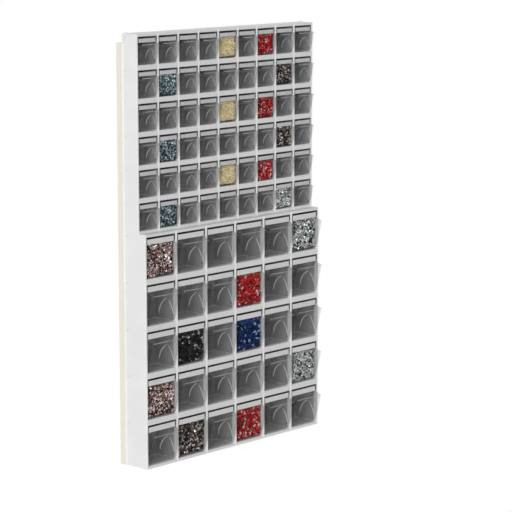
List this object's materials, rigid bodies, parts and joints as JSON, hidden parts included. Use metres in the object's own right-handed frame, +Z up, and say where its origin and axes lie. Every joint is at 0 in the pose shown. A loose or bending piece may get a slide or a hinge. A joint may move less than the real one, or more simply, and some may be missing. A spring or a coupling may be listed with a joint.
{
  "type": "wall-mounted drawer rack",
  "caption": "Wall board with stacked housings of clear tilt-out bins, small ones above and deeper large ones below, each bin with a finger lip and a label panel.",
  "frame": {"origin": "on the wall plane, at the centre of the four screw holes that hold the rack on the wall", "axes": "+X along the rack's width, from left to right as seen from the front; +Y into the wall, so the bins face -Y; +Z up"},
  "size_m": [0.608, 0.105, 1.0246],
  "materials": {
    "board": "chipboard faced with white melamine",
    "edge_band": "cream edge band",
    "housing": "light grey moulded plastic, satin",
    "clear_bin": "clear, slightly grey moulded plastic, glossy",
    "screws": "zinc plated"
  },
  "bodies": {
    "rack": {"wall_board": "board", "edge_bands": "edge_band", "housing_screws": "screws", "small_housing_1": "housing", "small_housing_2": "housing", "small_housing_3": "housing", "small_housing_4": "housing", "small_housing_5": "housing", "small_housing_6": "housing", "large_housing_1": "housing", "large_housing_2": "housing", "large_housing_3": "housing", "large_housing_4": "housing", "large_housing_5": "housing"},
    "small_bins_1_left_row": {"small_bins_1_left": "clear_bin"},
    "small_bins_1_right_row": {"small_bins_1_right": "clear_bin"},
    "small_bins_2_left_row": {"small_bins_2_left": "clear_bin"},
    "small_bins_2_right_row": {"small_bins_2_right": "clear_bin"},
    "small_bins_3_left_row": {"small_bins_3_left": "clear_bin"},
    "small_bins_3_right_row": {"small_bins_3_right": "clear_bin"},
    "small_bins_4_left_row": {"small_bins_4_left": "clear_bin"},
    "small_bins_4_right_row": {"small_bins_4_right": "clear_bin"},
    "small_bins_5_left_row": {"small_bins_5_left": "clear_bin"},
    "small_bins_5_right_row": {"small_bins_5_right": "clear_bin"},
    "small_bins_6_left_row": {"small_bins_6_left": "clear_bin"},
    "small_bins_6_right_row": {"small_bins_6_right": "clear_bin"},
    "large_bin_1_1_body": {"large_bin_1_1": "clear_bin"},
    "large_bin_1_2_body": {"large_bin_1_2": "clear_bin"},
    "large_bin_1_3_body": {"large_bin_1_3": "clear_bin"},
    "large_bin_1_4_body": {"large_bin_1_4": "clear_bin"},
    "large_bin_1_5_body": {"large_bin_1_5": "clear_bin"},
    "large_bin_1_6_body": {"large_bin_1_6": "clear_bin"},
    "large_bin_2_1_body": {"large_bin_2_1": "clear_bin"},
    "large_bin_2_2_body": {"large_bin_2_2": "clear_bin"},
    "large_bin_2_3_body": {"large_bin_2_3": "clear_bin"},
    "large_bin_2_4_body": {"large_bin_2_4": "clear_bin"},
    "large_bin_2_5_body": {"large_bin_2_5": "clear_bin"},
    "large_bin_2_6_body": {"large_bin_2_6": "clear_bin"},
    "large_bin_3_1_body": {"large_bin_3_1": "clear_bin"},
    "large_bin_3_2_body": {"large_bin_3_2": "clear_bin"},
    "large_bin_3_3_body": {"large_bin_3_3": "clear_bin"},
    "large_bin_3_4_body": {"large_bin_3_4": "clear_bin"},
    "large_bin_3_5_body": {"large_bin_3_5": "clear_bin"},
    "large_bin_3_6_body": {"large_bin_3_6": "clear_bin"},
    "large_bin_4_1_body": {"large_bin_4_1": "clear_bin"},
    "large_bin_4_2_body": {"large_bin_4_2": "clear_bin"},
    "large_bin_4_3_body": {"large_bin_4_3": "clear_bin"},
    "large_bin_4_4_body": {"large_bin_4_4": "clear_bin"},
    "large_bin_4_5_body": {"large_bin_4_5": "clear_bin"},
    "large_bin_4_6_body": {"large_bin_4_6": "clear_bin"},
    "large_bin_5_1_body": {"large_bin_5_1": "clear_bin"},
    "large_bin_5_2_body": {"large_bin_5_2": "clear_bin"},
    "large_bin_5_3_body": {"large_bin_5_3": "clear_bin"},
    "large_bin_5_4_body": {"large_bin_5_4": "clear_bin"},
    "large_bin_5_5_body": {"large_bin_5_5": "clear_bin"},
    "large_bin_5_6_body": {"large_bin_5_6": "clear_bin"}
  },
  "joints": [
    {"name": "small_bins_1_left_tilt", "type": "hinge", "parent": "rack", "child": "small_bins_1_left_row", "pos_m": [-0.13262, -0.0555, 0.459], "axis": [1, 0, 0], "range_deg": [0, 45]},
    {"name": "small_bins_1_right_tilt", "type": "hinge", "parent": "rack", "child": "small_bins_1_right_row", "pos_m": [0.16578, -0.0555, 0.459], "axis": [1, 0, 0], "range_deg": [0, 45]},
    {"name": "small_bins_2_left_tilt", "type": "hinge", "parent": "rack", "child": "small_bins_2_left_row", "pos_m": [-0.13262, -0.0555, 0.382], "axis": [1, 0, 0], "range_deg": [0, 45]},
    {"name": "small_bins_2_right_tilt", "type": "hinge", "parent": "rack", "child": "small_bins_2_right_row", "pos_m": [0.16578, -0.0555, 0.382], "axis": [1, 0, 0], "range_deg": [0, 45]},
    {"name": "small_bins_3_left_tilt", "type": "hinge", "parent": "rack", "child": "small_bins_3_left_row", "pos_m": [-0.13262, -0.0555, 0.305], "axis": [1, 0, 0], "range_deg": [0, 45]},
    {"name": "small_bins_3_right_tilt", "type": "hinge", "parent": "rack", "child": "small_bins_3_right_row", "pos_m": [0.16578, -0.0555, 0.305], "axis": [1, 0, 0], "range_deg": [0, 45]},
    {"name": "small_bins_4_left_tilt", "type": "hinge", "parent": "rack", "child": "small_bins_4_left_row", "pos_m": [-0.13262, -0.0555, 0.228], "axis": [1, 0, 0], "range_deg": [0, 45]},
    {"name": "small_bins_4_right_tilt", "type": "hinge", "parent": "rack", "child": "small_bins_4_right_row", "pos_m": [0.16578, -0.0555, 0.228], "axis": [1, 0, 0], "range_deg": [0, 45]},
    {"name": "small_bins_5_left_tilt", "type": "hinge", "parent": "rack", "child": "small_bins_5_left_row", "pos_m": [-0.13262, -0.0555, 0.151], "axis": [1, 0, 0], "range_deg": [0, 45]},
    {"name": "small_bins_5_right_tilt", "type": "hinge", "parent": "rack", "child": "small_bins_5_right_row", "pos_m": [0.16578, -0.0555, 0.151], "axis": [1, 0, 0], "range_deg": [0, 45]},
    {"name": "small_bins_6_left_tilt", "type": "hinge", "parent": "rack", "child": "small_bins_6_left_row", "pos_m": [-0.13262, -0.0555, 0.074], "axis": [1, 0, 0], "range_deg": [0, 45]},
    {"name": "small_bins_6_right_tilt", "type": "hinge", "parent": "rack", "child": "small_bins_6_right_row", "pos_m": [0.16578, -0.0555, 0.074], "axis": [1, 0, 0], "range_deg": [0, 45]},
    {"name": "large_bin_1_1_tilt", "type": "hinge", "parent": "rack", "child": "large_bin_1_1_body", "pos_m": [-0.24904, -0.075, -0.033], "axis": [1, 0, 0], "range_deg": [0, 45]},
    {"name": "large_bin_1_2_tilt", "type": "hinge", "parent": "rack", "child": "large_bin_1_2_body", "pos_m": [-0.14942, -0.075, -0.033], "axis": [1, 0, 0], "range_deg": [0, 45]},
    {"name": "large_bin_1_3_tilt", "type": "hinge", "parent": "rack", "child": "large_bin_1_3_body", "pos_m": [-0.04981, -0.075, -0.033], "axis": [1, 0, 0], "range_deg": [0, 45]},
    {"name": "large_bin_1_4_tilt", "type": "hinge", "parent": "rack", "child": "large_bin_1_4_body", "pos_m": [0.04981, -0.075, -0.033], "axis": [1, 0, 0], "range_deg": [0, 45]},
    {"name": "large_bin_1_5_tilt", "type": "hinge", "parent": "rack", "child": "large_bin_1_5_body", "pos_m": [0.14943, -0.075, -0.033], "axis": [1, 0, 0], "range_deg": [0, 45]},
    {"name": "large_bin_1_6_tilt", "type": "hinge", "parent": "rack", "child": "large_bin_1_6_body", "pos_m": [0.24904, -0.075, -0.033], "axis": [1, 0, 0], "range_deg": [0, 45]},
    {"name": "large_bin_2_1_tilt", "type": "hinge", "parent": "rack", "child": "large_bin_2_1_body", "pos_m": [-0.24904, -0.075, -0.145], "axis": [1, 0, 0], "range_deg": [0, 45]},
    {"name": "large_bin_2_2_tilt", "type": "hinge", "parent": "rack", "child": "large_bin_2_2_body", "pos_m": [-0.14942, -0.075, -0.145], "axis": [1, 0, 0], "range_deg": [0, 45]},
    {"name": "large_bin_2_3_tilt", "type": "hinge", "parent": "rack", "child": "large_bin_2_3_body", "pos_m": [-0.04981, -0.075, -0.145], "axis": [1, 0, 0], "range_deg": [0, 45]},
    {"name": "large_bin_2_4_tilt", "type": "hinge", "parent": "rack", "child": "large_bin_2_4_body", "pos_m": [0.04981, -0.075, -0.145], "axis": [1, 0, 0], "range_deg": [0, 45]},
    {"name": "large_bin_2_5_tilt", "type": "hinge", "parent": "rack", "child": "large_bin_2_5_body", "pos_m": [0.14943, -0.075, -0.145], "axis": [1, 0, 0], "range_deg": [0, 45]},
    {"name": "large_bin_2_6_tilt", "type": "hinge", "parent": "rack", "child": "large_bin_2_6_body", "pos_m": [0.24904, -0.075, -0.145], "axis": [1, 0, 0], "range_deg": [0, 45]},
    {"name": "large_bin_3_1_tilt", "type": "hinge", "parent": "rack", "child": "large_bin_3_1_body", "pos_m": [-0.24904, -0.075, -0.257], "axis": [1, 0, 0], "range_deg": [0, 45]},
    {"name": "large_bin_3_2_tilt", "type": "hinge", "parent": "rack", "child": "large_bin_3_2_body", "pos_m": [-0.14942, -0.075, -0.257], "axis": [1, 0, 0], "range_deg": [0, 45]},
    {"name": "large_bin_3_3_tilt", "type": "hinge", "parent": "rack", "child": "large_bin_3_3_body", "pos_m": [-0.04981, -0.075, -0.257], "axis": [1, 0, 0], "range_deg": [0, 45]},
    {"name": "large_bin_3_4_tilt", "type": "hinge", "parent": "rack", "child": "large_bin_3_4_body", "pos_m": [0.04981, -0.075, -0.257], "axis": [1, 0, 0], "range_deg": [0, 45]},
    {"name": "large_bin_3_5_tilt", "type": "hinge", "parent": "rack", "child": "large_bin_3_5_body", "pos_m": [0.14943, -0.075, -0.257], "axis": [1, 0, 0], "range_deg": [0, 45]},
    {"name": "large_bin_3_6_tilt", "type": "hinge", "parent": "rack", "child": "large_bin_3_6_body", "pos_m": [0.24904, -0.075, -0.257], "axis": [1, 0, 0], "range_deg": [0, 45]},
    {"name": "large_bin_4_1_tilt", "type": "hinge", "parent": "rack", "child": "large_bin_4_1_body", "pos_m": [-0.24904, -0.075, -0.369], "axis": [1, 0, 0], "range_deg": [0, 45]},
    {"name": "large_bin_4_2_tilt", "type": "hinge", "parent": "rack", "child": "large_bin_4_2_body", "pos_m": [-0.14942, -0.075, -0.369], "axis": [1, 0, 0], "range_deg": [0, 45]},
    {"name": "large_bin_4_3_tilt", "type": "hinge", "parent": "rack", "child": "large_bin_4_3_body", "pos_m": [-0.04981, -0.075, -0.369], "axis": [1, 0, 0], "range_deg": [0, 45]},
    {"name": "large_bin_4_4_tilt", "type": "hinge", "parent": "rack", "child": "large_bin_4_4_body", "pos_m": [0.04981, -0.075, -0.369], "axis": [1, 0, 0], "range_deg": [0, 45]},
    {"name": "large_bin_4_5_tilt", "type": "hinge", "parent": "rack", "child": "large_bin_4_5_body", "pos_m": [0.14943, -0.075, -0.369], "axis": [1, 0, 0], "range_deg": [0, 45]},
    {"name": "large_bin_4_6_tilt", "type": "hinge", "parent": "rack", "child": "large_bin_4_6_body", "pos_m": [0.24904, -0.075, -0.369], "axis": [1, 0, 0], "range_deg": [0, 45]},
    {"name": "large_bin_5_1_tilt", "type": "hinge", "parent": "rack", "child": "large_bin_5_1_body", "pos_m": [-0.24904, -0.075, -0.481], "axis": [1, 0, 0], "range_deg": [0, 45]},
    {"name": "large_bin_5_2_tilt", "type": "hinge", "parent": "rack", "child": "large_bin_5_2_body", "pos_m": [-0.14942, -0.075, -0.481], "axis": [1, 0, 0], "range_deg": [0, 45]},
    {"name": "large_bin_5_3_tilt", "type": "hinge", "parent": "rack", "child": "large_bin_5_3_body", "pos_m": [-0.04981, -0.075, -0.481], "axis": [1, 0, 0], "range_deg": [0, 45]},
    {"name": "large_bin_5_4_tilt", "type": "hinge", "parent": "rack", "child": "large_bin_5_4_body", "pos_m": [0.04981, -0.075, -0.481], "axis": [1, 0, 0], "range_deg": [0, 45]},
    {"name": "large_bin_5_5_tilt", "type": "hinge", "parent": "rack", "child": "large_bin_5_5_body", "pos_m": [0.14943, -0.075, -0.481], "axis": [1, 0, 0], "range_deg": [0, 45]},
    {"name": "large_bin_5_6_tilt", "type": "hinge", "parent": "rack", "child": "large_bin_5_6_body", "pos_m": [0.24904, -0.075, -0.481], "axis": [1, 0, 0], "range_deg": [0, 45]}
  ]
}
